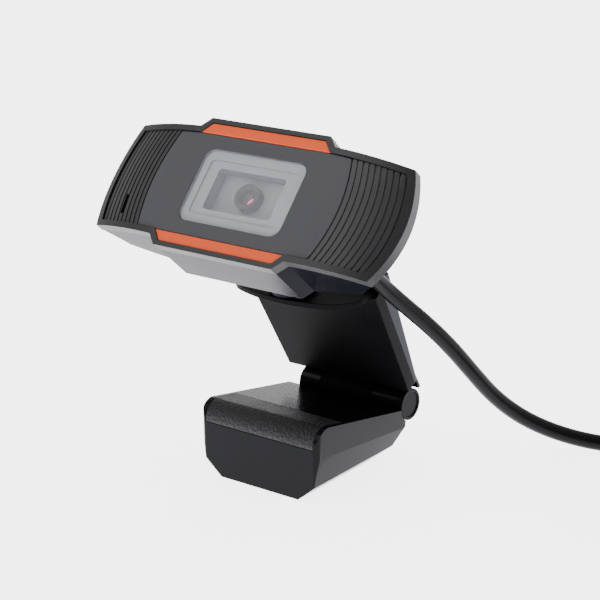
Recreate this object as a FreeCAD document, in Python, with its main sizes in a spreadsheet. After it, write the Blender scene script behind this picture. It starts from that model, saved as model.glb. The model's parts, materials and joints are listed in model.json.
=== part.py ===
"""Webcam on a folding clip stand, with its lead and USB plug, in millimetres.

The row frame has +Z up, the front towards -Y and +X to the right of someone who faces the front.
The origin is on the table, in the middle of the jaw's flat underside. Head pieces are drawn in
the head's own frame (origin in the middle of the bezel's front, Y to the back, Z up the face)
and arm pieces in the arm's own frame (origin on the hinge axis, Z along the arm, Y to its outer
side); each sub-part's Placement puts it in the row frame.
"""
import FreeCAD, Part
import Sketcher
import math
import os
from FreeCAD import Placement, Rotation, Vector

doc = FreeCAD.newDocument("webcam")

# ------------------------------------------------------------------ driving dimensions

SIZES = {
    # head outline, seen from the front
    "head_half_width": 44.9, "corner_x": 41.8, "corner_z": 14.7,
    "tab_top_half": 18.2, "tab_root_half": 20.7, "tab_z": 18.0, "shoulder_z": 15.4,
    "end_radius": 36.4, "flat_half": 20.0, "wing_radius": 62.6, "rim_width": 1.6,
    "bezel_depth": 2.6, "rib_arc_radius": 42.0, "panel_half_mid": 28.3, "panel_half_top": 26.0,
    "rib_pitch": 1.55, "rib_width": 1.1, "rib_count": 10,
    # window, recess and camera module
    "window_half_w": 15.6, "window_half_h": 10.0, "window_corner": 3.0, "window_thick": 0.8,
    "recess_half_w": 10.3, "recess_half_h": 5.6, "recess_depth": 3.0,
    "lens_radius": 3.45, "board_thick": 1.2,
    # rear of the head
    "wall": 1.8, "block_half": 20.0, "block_depth": 31.0, "wing_depth": 15.8,
    # stance
    "head_tilt": 41.8, "head_y": -19.35, "head_z": 79.13,
    "tilt_axis_y": 27.0, "tilt_axis_z": -1.5, "tilt_pin_radius": 1.2,
    # neck and platform
    "neck_half": 3.0, "neck_barrel": 2.6, "neck_disc": 6.4, "platform_lean": 5.0,
    "platform_half": 19.5, "platform_thick": 1.5, "platform_drop": 10.9,
    # arm
    "arm_lean": 29.0, "arm_length": 39.6, "arm_half_low": 19.7, "arm_half_high": 20.9,
    "plate_depth": 3.4, "cover_low": 5.3, "cover_high": 8.5, "cover_length": 41.6,
    # hinge
    "pivot_y": -1.0, "hinge_z": 14.0, "knuckle_radius": 4.1, "knuckle_split": 8.5,
    "barrel_half": 16.5, "barrel_left": 15.0, "pin_radius": 1.5, "running_gap": 0.05, "side_gap": 0.2,
    # jaw
    "stand_y": 27.0, "jaw_half": 18.8, "jaw_front": -42.0, "jaw_top_front": 19.5, "jaw_top_rear": 13.5,
    "nose_radius": 4.4, "pad_thick": 1.2, "pad_half": 17.3, "pad_back": -29.4,
    # lead
    "cable_diameter": 4.2, "coil_mean_radius": 24.0, "coil_x": 105.0, "coil_y": 41.0,
}

sheet = doc.addObject("Spreadsheet::Sheet", "Dims")
for row, (alias, value) in enumerate(SIZES.items(), start=1):
    sheet.set(f"A{row}", alias)
    sheet.set(f"B{row}", str(value))
    sheet.setAlias(f"B{row}", alias)
doc.recompute()


class Size:
    """A length with the spreadsheet expression that gives it, so that both follow one formula."""

    def __init__(self, value, text):
        self.value = value
        self.text = text

    def __add__(self, other):
        other = size(other)
        return Size(self.value + other.value, f"({self.text} + {other.text})")

    def __sub__(self, other):
        other = size(other)
        return Size(self.value - other.value, f"({self.text} - {other.text})")

    def __mul__(self, other):
        other = size(other)
        return Size(self.value * other.value, f"({self.text} * {other.text})")

    def __truediv__(self, other):
        other = size(other)
        return Size(self.value / other.value, f"({self.text} / {other.text})")

    def __neg__(self):
        return Size(-self.value, f"(-1 * {self.text})")

    __radd__ = __add__
    __rmul__ = __mul__

    def __rsub__(self, other):
        return size(other) - self


def size(number):
    """A plain number as a Size."""
    if isinstance(number, Size):
        return number
    return Size(float(number), repr(float(number)))


def root(square):
    """The square root of a Size."""
    return Size(math.sqrt(square.value), f"sqrt({square.text})")


D = {alias: Size(float(value), f"Dims.{alias}") for alias, value in SIZES.items()}

# ------------------------------------------------------------------ modelling steps

TOLERANCE = 1e-6
PLANES = {"XY": "XY_Plane", "XZ": "XZ_Plane", "YZ": "YZ_Plane"}


def new_body(label):
    """An empty PartDesign body for one sub-part."""
    body = doc.addObject("PartDesign::Body", label)
    body.Label = label
    return body


def origin_plane(body, plane):
    """The body's own origin plane."""
    for feature in body.Origin.OriginFeatures:
        if feature.Role == PLANES[plane]:
            return feature
    raise ValueError(plane)


def pin_coordinate(sketch, kind, geometry, end, value):
    """Hold one coordinate of a sketch point at a Size."""
    if abs(value.value) < TOLERANCE:
        axis = -2 if kind == "DistanceX" else -1
        sketch.addConstraint(Sketcher.Constraint("PointOnObject", geometry, end, axis))
        return
    index = sketch.addConstraint(Sketcher.Constraint(kind, -1, 1, geometry, end, value.value))
    sketch.setExpression(f"Constraints[{index}]", value.text)


def draw_loop(sketch, path):
    """Draw one closed loop. A vertex is (x, y) or (x, y, radius): the radius rounds the edge
    that leaves it, positive when the centre is on the left."""
    vertices = [(size(v[0]), size(v[1]), size(v[2]) if len(v) > 2 else None) for v in path]
    edges = []
    for start, after in zip(vertices, vertices[1:] + vertices[:1]):
        a = Vector(start[0].value, start[1].value, 0)
        b = Vector(after[0].value, after[1].value, 0)
        if start[2] is None:
            edges.append((sketch.addGeometry(Part.LineSegment(a, b)), 1, 2))
            continue
        radius = abs(start[2].value)
        side = math.copysign(1, start[2].value)
        chord = b - a
        reach = math.sqrt(max(radius ** 2 - chord.Length ** 2 / 4, 0))
        left = Vector(-chord.y, chord.x, 0).normalize()
        centre = (a + b) * 0.5 + left * (side * reach)
        first, last = (a, b) if side > 0 else (b, a)
        angles = [math.atan2(p.y - centre.y, p.x - centre.x) for p in (first, last)]
        circle = Part.Circle(centre, Vector(0, 0, 1), radius)
        index = sketch.addGeometry(Part.ArcOfCircle(circle, angles[0], angles[1]))
        edges.append((index, 1, 2) if side > 0 else (index, 2, 1))
    for number, (index, start, end) in enumerate(edges):
        following = edges[(number + 1) % len(edges)]
        sketch.addConstraint(Sketcher.Constraint("Coincident", index, end, following[0], following[1]))
    for (index, start, end), vertex in zip(edges, vertices):
        pin_coordinate(sketch, "DistanceX", index, start, vertex[0])
        pin_coordinate(sketch, "DistanceY", index, start, vertex[1])
        if vertex[2] is not None:
            text = vertex[2].text if vertex[2].value > 0 else f"(-1 * {vertex[2].text})"
            held = sketch.addConstraint(Sketcher.Constraint("Radius", index, abs(vertex[2].value)))
            sketch.setExpression(f"Constraints[{held}]", text)


def draw_circle(sketch, x, y, radius):
    """Draw a circle, held by its centre and its radius."""
    x, y, radius = size(x), size(y), size(radius)
    circle = Part.Circle(Vector(x.value, y.value, 0), Vector(0, 0, 1), radius.value)
    index = sketch.addGeometry(circle)
    pin_coordinate(sketch, "DistanceX", index, 3, x)
    pin_coordinate(sketch, "DistanceY", index, 3, y)
    held = sketch.addConstraint(Sketcher.Constraint("Radius", index, radius.value))
    sketch.setExpression(f"Constraints[{held}]", radius.text)


def sketch_at(body, plane, level, shapes):
    """A sketch parallel to an origin plane. Each shape is a loop of vertices or a circle given as
    a dict with x, y and radius."""
    sketch = body.newObject("Sketcher::SketchObject", f"{body.Name}_sketch")
    sketch.AttachmentSupport = [(origin_plane(body, plane), "")]
    sketch.MapMode = "FlatFace"
    level = size(level)
    offset = -level if plane == "XZ" else level
    sketch.AttachmentOffset = Placement(Vector(0, 0, offset.value), Rotation())
    sketch.setExpression(".AttachmentOffset.Base.z", offset.text)
    for shape in shapes:
        if isinstance(shape, dict):
            draw_circle(sketch, shape["x"], shape["y"], shape["radius"])
        else:
            draw_loop(sketch, shape)
    return sketch


def settle(body, feature, grows):
    """Recompute, and stop if the feature failed or changed the volume the wrong way."""
    before = settle.volumes.get(body.Name, 0.0)
    doc.recompute()
    volume = feature.Shape.Volume
    if not feature.isValid() or (volume <= before if grows else volume >= before):
        raise RuntimeError(f"{body.Label}: {feature.Name} failed, {before:.2f} to {volume:.2f}")
    settle.volumes[body.Name] = volume
    return feature


settle.volumes = {}


def add(body, plane, shapes, start, end):
    """Pad shapes drawn on a plane's directions from start to end along its third axis."""
    start, end = size(start), size(end)
    level = end if plane == "XZ" else start
    pad = body.newObject("PartDesign::Pad", f"{body.Name}_pad")
    pad.Profile = sketch_at(body, plane, level, shapes)
    pad.Length = end.value - start.value
    pad.setExpression("Length", (end - start).text)
    return settle(body, pad, True)


def cut(body, plane, shapes, start, end):
    """Pocket shapes drawn on a plane's directions from start to end along its third axis."""
    start, end = size(start), size(end)
    level = start if plane == "XZ" else end
    pocket = body.newObject("PartDesign::Pocket", f"{body.Name}_pocket")
    pocket.Profile = sketch_at(body, plane, level, shapes)
    pocket.Length = end.value - start.value
    pocket.setExpression("Length", (end - start).text)
    return settle(body, pocket, False)


def soften(body, radius, wanted):
    """Fillet the edges that wanted(edge) picks out."""
    tip = body.Tip
    names = [f"Edge{n}" for n, edge in enumerate(tip.Shape.Edges, start=1) if wanted(edge)]
    if not names:
        raise RuntimeError(f"{body.Label}: no edge to soften")
    fillet = body.newObject("PartDesign::Fillet", f"{body.Name}_fillet")
    fillet.Base = (tip, names)
    fillet.Radius = radius
    doc.recompute()
    if not fillet.isValid() or fillet.Shape.isNull():
        raise RuntimeError(f"{body.Label}: fillet failed")
    settle.volumes[body.Name] = fillet.Shape.Volume
    return fillet


def rectangle(x_low, y_low, x_high, y_high):
    """A closed rectangle, given by two corners."""
    return [(x_low, y_low), (x_high, y_low), (x_high, y_high), (x_low, y_high)]


def rounded(half_w, half_h, radius, x=0.0, y=0.0):
    """A closed rectangle with rounded corners about a centre, anticlockwise."""
    half_w, half_h, radius = size(half_w), size(half_h), size(radius)
    x, y = size(x), size(y)
    straight_w, straight_h = half_w - radius, half_h - radius
    return [
        (x - straight_w, y - half_h), (x + straight_w, y - half_h, radius),
        (x + half_w, y - straight_h), (x + half_w, y + straight_h, radius),
        (x + straight_w, y + half_h), (x - straight_w, y + half_h, radius),
        (x - half_w, y + straight_h), (x - half_w, y - straight_h, radius),
    ]


# ------------------------------------------------------------------ stance of the groups

TILT, LEAN, PLATFORM_LEAN = (D[k] for k in ("head_tilt", "arm_lean", "platform_lean"))
HEAD = {"y": D["head_y"], "z": D["head_z"], "turn": -TILT}
HINGE = {"y": D["stand_y"] + D["pivot_y"], "z": D["hinge_z"], "turn": size(0)}
ARM = dict(HINGE, turn=LEAN)
STAND = {"y": D["stand_y"], "z": size(0), "turn": size(0)}


def turned(angle, text):
    """Sine and cosine of an angle in degrees, as Sizes."""
    radians = math.radians(angle)
    return (Size(math.sin(radians), f"sin({text} * 1deg)"),
            Size(math.cos(radians), f"cos({text} * 1deg)"))


SIN_TILT, COS_TILT = turned(TILT.value, TILT.text)
SIN_PLATFORM, COS_PLATFORM = turned(PLATFORM_LEAN.value, PLATFORM_LEAN.text)

# The tilt axis in the row frame, and the platform's frame: its origin is where the swivel axis
# meets the platform's top, and its Z runs up that axis through the tilt axis.
TILT_Y = D["head_y"] + D["tilt_axis_y"] * COS_TILT + D["tilt_axis_z"] * SIN_TILT
TILT_Z = D["head_z"] - D["tilt_axis_y"] * SIN_TILT + D["tilt_axis_z"] * COS_TILT
PLATFORM = {
    "y": TILT_Y + D["platform_drop"] * SIN_PLATFORM,
    "z": TILT_Z - D["platform_drop"] * COS_PLATFORM,
    "turn": PLATFORM_LEAN,
}


def place(sub_part, group):
    """Put a sub-part drawn in a group's frame where the group stands."""
    base = [group.get(axis, size(0)) for axis in "xyz"]
    turn = group["turn"]
    sub_part.Placement = Placement(Vector(*[b.value for b in base]), Rotation(Vector(1, 0, 0), turn.value))
    for axis, distance in zip("xyz", base):
        sub_part.setExpression(f".Placement.Base.{axis}", distance.text)
    sub_part.setExpression(".Placement.Rotation.Angle", f"{turn.text} * 1deg")


SUB_PARTS = []


def keep(sub_part, group):
    """Record a finished sub-part and place it."""
    place(sub_part, group)
    SUB_PARTS.append(sub_part)
    return sub_part


def combine(label, kind, pieces):
    """A Part boolean of bodies that are drawn in one frame: MultiFuse, MultiCommon or Cut."""
    result = doc.addObject(f"Part::{kind}", label)
    result.Label = label
    if kind == "Cut":
        result.Base, result.Tool = pieces
    else:
        result.Shapes = pieces
    doc.recompute()
    if not result.isValid() or result.Shape.isNull():
        raise RuntimeError(f"{label}: {kind} failed")
    return result


def spin(body, path):
    """Revolve a loop drawn as (radius, y) about the body's Y axis."""
    feature = body.newObject("PartDesign::Revolution", f"{body.Name}_turned")
    feature.Profile = sketch_at(body, "XY", 0, [path])
    feature.ReferenceAxis = (feature.Profile[0], ["V_Axis"])
    feature.Angle = 360
    return settle(body, feature, True)


# ------------------------------------------------------------------ head: front

REACH = size(52)
FRONT = size(-6)


def outline(inset):
    """The head's front outline, drawn in by an inset: two trapezoid tabs and bowed ends."""
    inset = size(inset)
    tab_z, shoulder_z = D["tab_z"] - inset * 0.8, D["shoulder_z"] - inset
    top, base = D["tab_top_half"] - inset * 0.5, D["tab_root_half"] - inset * 0.5
    corner_x, corner_z = D["corner_x"] - inset * 0.9, D["corner_z"] - inset
    bow = D["end_radius"] - inset
    return [
        (-top, -tab_z), (top, -tab_z), (base, -shoulder_z), (corner_x, -corner_z, bow),
        (corner_x, corner_z), (base, shoulder_z), (top, tab_z), (-top, tab_z),
        (-base, shoulder_z), (-corner_x, corner_z, bow), (-corner_x, -corner_z),
        (-base, -shoulder_z),
    ]


def wing_curve(depth):
    """The front surface seen from above, moved back by a depth: flat, with wings that curve away."""
    depth = size(depth)
    radius = D["wing_radius"] - depth
    end = D["wing_radius"] - root(radius * radius - (REACH - D["flat_half"]) * (REACH - D["flat_half"]))
    return [(-REACH, end, radius), (-D["flat_half"], depth), (D["flat_half"], depth, radius), (REACH, end)]


def trim_front(body, depth):
    """Remove what stands in front of the front surface moved back by a depth."""
    cut(body, "XY", [wing_curve(depth) + [(REACH, FRONT), (-REACH, FRONT)]], -25, 25)


def trim_back(body, depth):
    """Remove what stands behind the front surface moved back by a depth."""
    cut(body, "XY", [wing_curve(depth) + [(REACH, 45), (-REACH, 45)]], -25, 25)


FIT = 0.06                      # gap between neighbouring mouldings
PANEL_FALL = 0.3                # the panel is this much lower at its sides than at the tabs
PLATE_FRONT, PLATE_BACK = 0.9, 2.3


def front_bezel():
    body = new_body("front_bezel")
    add(body, "XZ", [outline(0)], -1, 12)
    trim_front(body, 0)
    trim_back(body, D["bezel_depth"])
    cut(body, "XZ", [outline(D["rim_width"])], -2, 13)
    keep(body, HEAD)


def face_panel():
    """The matt panel between the ribbed wings, with its sides bowed out and the window's hole."""
    body = new_body("face_panel")
    half, straight = D["panel_half_top"], D["tab_root_half"] - D["rim_width"] * 0.5 - 0.1
    high = D["shoulder_z"] - D["rim_width"] - FIT
    end = high - PANEL_FALL
    bow = D["rib_arc_radius"]
    add(body, "XZ", [[(-half, -end), (-straight, -high), (straight, -high), (half, -end, bow),
                      (half, end), (straight, high), (-straight, high), (-half, end, bow)]], -1, 6)
    trim_front(body, 0.35)
    trim_back(body, 1.9)
    cut(body, "XZ", [rounded(D["window_half_w"], D["window_half_h"], D["window_corner"])], -2, 7)
    keep(body, HEAD)


def trim(label, side):
    """One trapezoid strip that fills the tab above or below the face panel."""
    body = new_body(label)
    low = (D["shoulder_z"] - D["rim_width"] + FIT) * side
    high = (D["tab_z"] - D["rim_width"] * 0.8 - FIT) * side
    base = D["tab_root_half"] - D["rim_width"] * 0.5 - 0.1
    top = D["tab_top_half"] - D["rim_width"] * 0.5 - 0.1
    add(body, "XZ", [[(-base, low), (base, low), (top, high), (-top, high)]], 0.2, 1.9)
    keep(body, HEAD)


MIC_SLOT = {"top_x": 34.9, "top_z": -5.5, "low_x": 33.9, "low_z": -10.9, "width": 1.0}
POST = {"x": 32.5, "z": 4.0, "radius": 2.2, "pilot": 0.85, "end": 10.6}


def rib_panel(label, side):
    """A ribbed wing: a curved plate, arc-shaped ridges, and a post for the shell's screw."""
    inset = D["rim_width"] + FIT
    corner_x, corner_z = D["corner_x"], D["corner_z"]
    inner, high = D["panel_half_top"] + FIT, D["shoulder_z"]
    arc = D["rib_arc_radius"] * side
    plate = new_body(f"{label}_plate")
    sag = D["rib_arc_radius"] - root(D["rib_arc_radius"] * D["rib_arc_radius"] - high * high)
    near = D["panel_half_mid"] + FIT - sag
    add(plate, "XZ", [[(near * side, -high), (REACH * side, -high), (REACH * side, high),
                       (near * side, high, -arc)]], -1, 20)
    trim_front(plate, PLATE_FRONT)
    trim_back(plate, PLATE_BACK)
    x, z = POST["x"] * side, POST["z"]
    add(plate, "XZ", [{"x": x, "y": z, "radius": POST["radius"]}], 3.0, POST["end"])
    cut(plate, "XZ", [{"x": x, "y": z, "radius": POST["pilot"]}], 4.6, POST["end"] + 1)
    ridges = []
    for number in range(int(SIZES["rib_count"])):
        near = D["panel_half_mid"] + 0.35 + D["rib_pitch"] * number
        far = near + D["rib_width"]
        ridges.append([((near - sag) * side, -high), ((far - sag) * side, -high, arc),
                       ((far - sag) * side, high), ((near - sag) * side, high, -arc)])
    ribs = new_body(f"{label}_ridges")
    add(ribs, "XZ", ridges, -1, 12)
    trim_front(ribs, 0.4)
    trim_back(ribs, PLATE_FRONT + 0.5)
    limit = new_body(f"{label}_limit")
    add(limit, "XZ", [outline(inset)], -2, 16)
    if side < 0:
        m = MIC_SLOT
        half = m["width"] / 2
        cut(limit, "XZ", [[(-m["top_x"] - half, m["top_z"]), (-m["low_x"] - half, m["low_z"]),
                           (-m["low_x"] + half, m["low_z"]), (-m["top_x"] + half, m["top_z"])]],
            -3, 17)
    joined = combine(f"{label}_joined", "MultiFuse", [plate, ribs])
    keep(combine(label, "MultiCommon", [joined, limit]), HEAD)


WINDOW_FRONT = 0.3
SURROUND = {"front": 1.15, "flange": 1.96, "back": 5.2, "margin": 1.6}


def window_cover():
    body = new_body("window_cover")
    half_w, half_h = D["window_half_w"] - FIT, D["window_half_h"] - FIT
    add(body, "XZ", [rounded(half_w, half_h, D["window_corner"] - FIT)],
        WINDOW_FRONT, D["window_thick"] + WINDOW_FRONT)
    keep(body, HEAD)


def lens_surround():
    """The stepped frame behind the window, with the recess that the lens looks out of."""
    body = new_body("lens_surround")
    w, h = D["window_half_w"], D["window_half_h"]
    add(body, "XZ", [rounded(w - 0.1, h - 0.1, 2.9)], SURROUND["front"], 3)
    add(body, "XZ", [rounded(w + SURROUND["margin"], h + SURROUND["margin"], 3.0)],
        SURROUND["flange"], SURROUND["back"])
    cut(body, "XZ", [rounded(D["recess_half_w"] + 3.2, D["recess_half_h"] + 1.9, 1.2)], 0, 1.6)
    cut(body, "XZ", [rounded(D["recess_half_w"], D["recess_half_h"], 0.8)],
        0, D["recess_depth"] + SURROUND["front"])
    cut(body, "XZ", [{"x": 0, "y": 0, "radius": D["lens_radius"] + 0.1}], 0, 9)
    keep(body, HEAD)


# ------------------------------------------------------------------ head: camera module

BOARD_FRONT = 13.2
BARREL = {"front": 2.7, "back": 11.2, "mouth": 2.5, "bore": 1.4}


def lens_barrel():
    """The threaded lens tube: a dished mouth round the first lens and a narrow bore behind it."""
    body = new_body("lens_barrel")
    radius, front, back = D["lens_radius"], BARREL["front"], BARREL["back"]
    spin(body, [(BARREL["mouth"], front), (radius, front), (radius, back), (BARREL["bore"], back),
                (BARREL["bore"], front + 2.2), (2.0, front + 2.2), (2.0, front + 0.7)])
    keep(body, HEAD)


def front_lens():
    """The first lens, domed to the front, seated in the barrel's mouth."""
    body = new_body("front_lens")
    rim = BARREL["front"] + 0.9
    spin(body, [(0, rim + 1.2), (0, rim - 0.4), (1.96, rim), (1.96, rim + 1.2)])
    keep(body, HEAD)


def lens_holder():
    """The square mount on the board that the barrel screws into."""
    body = new_body("lens_holder")
    add(body, "XZ", [rounded(6, 6, 1)], 6.4, BOARD_FRONT)
    cut(body, "XZ", [{"x": 0, "y": 0, "radius": D["lens_radius"] + D["running_gap"]}], 5, 11.4)
    cut(body, "XZ", [rectangle(-4, -4, 4, 4)], 11.4, BOARD_FRONT + 1)
    keep(body, HEAD)


def infrared_filter():
    body = new_body("infrared_filter")
    add(body, "XZ", [rectangle(-3.8, -3.8, 3.8, 3.8)], 11.5, 11.9)
    keep(body, HEAD)


def image_sensor():
    body = new_body("image_sensor")
    add(body, "XZ", [rectangle(-3, -2.5, 3, 2.5)], BOARD_FRONT - 0.9, BOARD_FRONT)
    keep(body, HEAD)


BOARD_HOLES = [(sx * 14.0, sz * 8.5) for sx in (-1, 1) for sz in (-1, 1)]


def circuit_board():
    body = new_body("circuit_board")
    add(body, "XZ", [rounded(16.5, 11, 1)], BOARD_FRONT, BOARD_FRONT + D["board_thick"])
    cut(body, "XZ", [{"x": x, "y": z, "radius": 0.9} for x, z in BOARD_HOLES],
        BOARD_FRONT - 1, BOARD_FRONT + 3)
    keep(body, HEAD)


def interface_chip():
    """The chip that turns the sensor's picture into USB video."""
    body = new_body("interface_chip")
    back = BOARD_FRONT + D["board_thick"]
    add(body, "XZ", [rectangle(-3.5, -3.5, 3.5, 3.5)], back, back + 0.9)
    keep(body, HEAD)


def board_screws():
    """Four screws from the board into the lens surround's pillars."""
    body = new_body("board_screws")
    back = BOARD_FRONT + D["board_thick"]
    add(body, "XZ", [{"x": x, "y": z, "radius": 1.5} for x, z in BOARD_HOLES], back, back + 0.9)
    add(body, "XZ", [{"x": x, "y": z, "radius": 0.75} for x, z in BOARD_HOLES], 8.6, back + 0.2)
    keep(body, HEAD)


def board_pillars():
    """Four sleeves that hold the board off the lens surround."""
    body = new_body("board_pillars")
    front, back = SURROUND["back"], BOARD_FRONT
    add(body, "XZ", [{"x": x, "y": z, "radius": 1.9} for x, z in BOARD_HOLES], front, back)
    cut(body, "XZ", [{"x": x, "y": z, "radius": 0.8} for x, z in BOARD_HOLES], front + 2, back + 1)
    keep(body, HEAD)


def microphone():
    """The capsule behind the slot in the left wing, in its rubber boot."""
    capsule = new_body("microphone_capsule")
    x, z = -(MIC_SLOT["top_x"] + MIC_SLOT["low_x"]) / 2, (MIC_SLOT["top_z"] + MIC_SLOT["low_z"]) / 2
    add(capsule, "XZ", [{"x": x, "y": z, "radius": 2.0}], 5.6, 8.0)
    keep(capsule, HEAD)
    boot = new_body("microphone_boot")
    add(boot, "XZ", [{"x": x, "y": z, "radius": 2.8}], 5.0, 8.4)
    cut(boot, "XZ", [{"x": x, "y": z, "radius": 2.03}], 5.6, 9)
    cut(boot, "XZ", [{"x": x, "y": z, "radius": 0.9}], 4, 7)
    keep(boot, HEAD)


# ------------------------------------------------------------------ head: rear shell

EAR = {"half": 8.0, "front": 21.5}
SLOT = {"front": 23.8, "top": 1.7}
EXIT = {"x": 26.0, "z": -4.0, "radius": 2.9, "end": 24.5}


WING_END = 8.8


def wing_back(depth):
    """The rear of the wings seen from above, drawn forward by a depth."""
    depth = size(depth)
    end_x, end_y = D["head_half_width"] + 0.2, size(WING_END)
    shoulder_x, shoulder_y = size(38.5), size(11.9) - depth
    mid = D["wing_depth"] - depth
    return [(-end_x, end_y - depth, -8), (-shoulder_x, shoulder_y, -90), (-D["block_half"], mid),
            (D["block_half"], mid, -90), (shoulder_x, shoulder_y, -8), (end_x, end_y - depth)]


END_TAPER = {"front": 6.4, "back": 12.4, "draw_in": 5.6}
END_BOW = {"x": 38.91, "z": 20.0}


def end_section(body, side, level, inset):
    """What lies outside the bowed end of a wing, drawn in by an inset, at one depth."""
    x, z = (END_BOW["x"] - size(inset)) * side, END_BOW["z"]
    bow = D["end_radius"] * side
    return sketch_at(body, "XZ", level, [[(x, -z, bow), (x, z), (60 * side, z), (60 * side, -z)]])


def shell_form(label, inset, front):
    """The rear shell as a closed form, drawn in by an inset: the wings and the deeper block
    between them, whose underside and top slope in to a flat back."""
    inset = size(inset)
    wings = new_body(f"{label}_wings")
    add(wings, "XZ", [outline(inset + 0.15)], -1, 20)
    trim_front(wings, front)
    end = WING_END - inset
    cut(wings, "XY", [wing_back(inset) + [(60, end), (60, 45), (-60, 45), (-60, end)]], -25, 25)
    for side in (-1, 1):
        taper = wings.newObject("PartDesign::SubtractiveLoft", "end_taper")
        taper.Profile = end_section(wings, side, END_TAPER["front"], inset)
        taper.Sections = [end_section(wings, side, END_TAPER["back"], inset + END_TAPER["draw_in"])]
        taper.Ruled = True
        settle(wings, taper, False)
    block = new_body(f"{label}_block")
    top, base = D["tab_top_half"] - inset * 0.6, D["block_half"] - inset
    tab_z, shoulder_z = D["tab_z"] - inset - 0.1, D["shoulder_z"] - inset
    back = D["block_depth"] - inset
    add(block, "XZ", [[(-top, -tab_z), (top, -tab_z), (base, -shoulder_z), (base, shoulder_z),
                       (top, tab_z), (-top, tab_z), (-base, shoulder_z), (-base, -shoulder_z)]],
        front, back)
    for side in (-1, 1):
        cut(block, "XY", [[(base * side, front - 1), (30 * side, front - 1), (30 * side, back + 1),
                           ((base - 2.6) * side, back + 1)]], -25, 25)
    low = -tab_z
    cut(block, "YZ", [[(0, low), (15.5, low + 1.6), (size(26.5) - inset, low + 10.4), (back, low + 15.5),
                       (back, -30), (0, -30)]], -25, 25)
    cut(block, "YZ", [[(0, tab_z), (15.5, tab_z - 1.6), (size(25) - inset, tab_z - 6.2), (back, tab_z - 13),
                       (back, 30), (0, 30)]], -25, 25)
    return wings, block


def rear_shell():
    wings, block = shell_form("shell_outer", 0, D["bezel_depth"])
    outer = combine("shell_outer", "MultiFuse", [wings, block])
    inner_wings, inner_block = shell_form("shell_inner", D["wall"], 1.5)
    cut(inner_block, "YZ", [rectangle(EAR["front"], -25, 40, 10)], -EAR["half"], EAR["half"])
    inner = combine("shell_inner", "MultiFuse", [inner_wings, inner_block])
    hollow = combine("shell_hollow", "Cut", [outer, inner])
    tools = new_body("shell_tools")
    clearance = D["neck_half"] + 0.3
    add(tools, "YZ", [rectangle(SLOT["front"], -20, 40, SLOT["top"])], -clearance, clearance)
    add(tools, "YZ", [{"x": D["tilt_axis_y"], "y": D["tilt_axis_z"], "radius": D["tilt_pin_radius"]}],
        -EAR["half"] + 0.5, EAR["half"] - 0.5)
    for side in (-1, 1):
        x, z = POST["x"] * side, POST["z"]
        add(tools, "XZ", [{"x": x, "y": z, "radius": 1.15}], POST["end"] + 0.2, 20)
        add(tools, "XZ", [{"x": x, "y": z, "radius": 2.3}], POST["end"] + 2.0, 20)
    add(tools, "XZ", [{"x": EXIT["x"], "y": EXIT["z"], "radius": EXIT["radius"] - 0.5}], 8, 22)
    shell = combine("rear_shell", "Cut", [hollow, tools])
    keep(shell, HEAD)


def shell_screws():
    """Two screws from the back of the wings into the front's posts."""
    body = new_body("shell_screws")
    for side in (-1, 1):
        x, z = POST["x"] * side, POST["z"]
        add(body, "XZ", [{"x": x, "y": z, "radius": 2.1}], POST["end"] + 2.05, POST["end"] + 3.4)
        add(body, "XZ", [{"x": x, "y": z, "radius": 0.8}], POST["end"] - 3.5, POST["end"] + 2.3)
    keep(body, HEAD)


def strain_relief():
    """The tapered sleeve on the lead where it leaves the back of the right wing."""
    body = new_body("strain_relief")
    x, z, radius = EXIT["x"], EXIT["z"], EXIT["radius"]
    cable = D["cable_diameter"] / 2
    spin(body, [(0, 8.5), (radius - 0.5, 8.5), (radius - 0.5, 15.2), (radius, 15.2), (radius, 17),
                (cable + 0.3, EXIT["end"]), (0, EXIT["end"])])
    keep(body, {"x": size(x), "y": HEAD["y"] + SIN_TILT * z, "z": HEAD["z"] + COS_TILT * z,
                "turn": HEAD["turn"]})


def tilt_pin():
    """The pin through the shell's two ears and the neck's barrel."""
    body = new_body("tilt_pin")
    half = D["neck_half"] + 4.4
    add(body, "YZ", [{"x": D["tilt_axis_y"], "y": D["tilt_axis_z"], "radius": D["tilt_pin_radius"]}],
        -half, half)
    keep(body, HEAD)


# ------------------------------------------------------------------ neck

SPIGOT = {"radius": 2.6, "washer": 4.2}


def swivel_neck():
    """The post between arm and head: a disc and spigot that turn on the platform, and a barrel
    that the head tilts on."""
    body = new_body("swivel_neck")
    drop, barrel, half = D["platform_drop"], D["neck_barrel"], D["neck_half"]
    add(body, "XY", [{"x": 0, "y": 0, "radius": D["neck_disc"]}], 0.05, 1.7)
    add(body, "XY", [{"x": 0, "y": 0, "radius": SPIGOT["radius"]}], -D["platform_thick"] - 0.1, 0.1)
    add(body, "YZ", [[(-barrel, 1.5), (barrel, 1.5), (barrel, drop), (-barrel, drop)]], -half, half)
    add(body, "YZ", [{"x": 0, "y": drop, "radius": barrel}], -half, half)
    bore = D["tilt_pin_radius"] + D["running_gap"]
    cut(body, "YZ", [{"x": 0, "y": drop, "radius": bore}], -half - 1, half + 1)
    cut(body, "XY", [{"x": 0, "y": 0, "radius": 0.9}], -D["platform_thick"] - 1, 4)
    keep(body, PLATFORM)


def swivel_washer():
    body = new_body("swivel_washer")
    low = -D["platform_thick"] - 0.7
    add(body, "XY", [{"x": 0, "y": 0, "radius": SPIGOT["washer"]}], low, low + 0.6)
    cut(body, "XY", [{"x": 0, "y": 0, "radius": 1.0}], low - 1, low + 1)
    keep(body, PLATFORM)


def swivel_screw():
    body = new_body("swivel_screw")
    low = -D["platform_thick"] - 0.7
    add(body, "XY", [{"x": 0, "y": 0, "radius": 2.4}], low - 1.1, low)
    add(body, "XY", [{"x": 0, "y": 0, "radius": 0.85}], low - 0.2, 3.6)
    keep(body, PLATFORM)


# ------------------------------------------------------------------ arm

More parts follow.
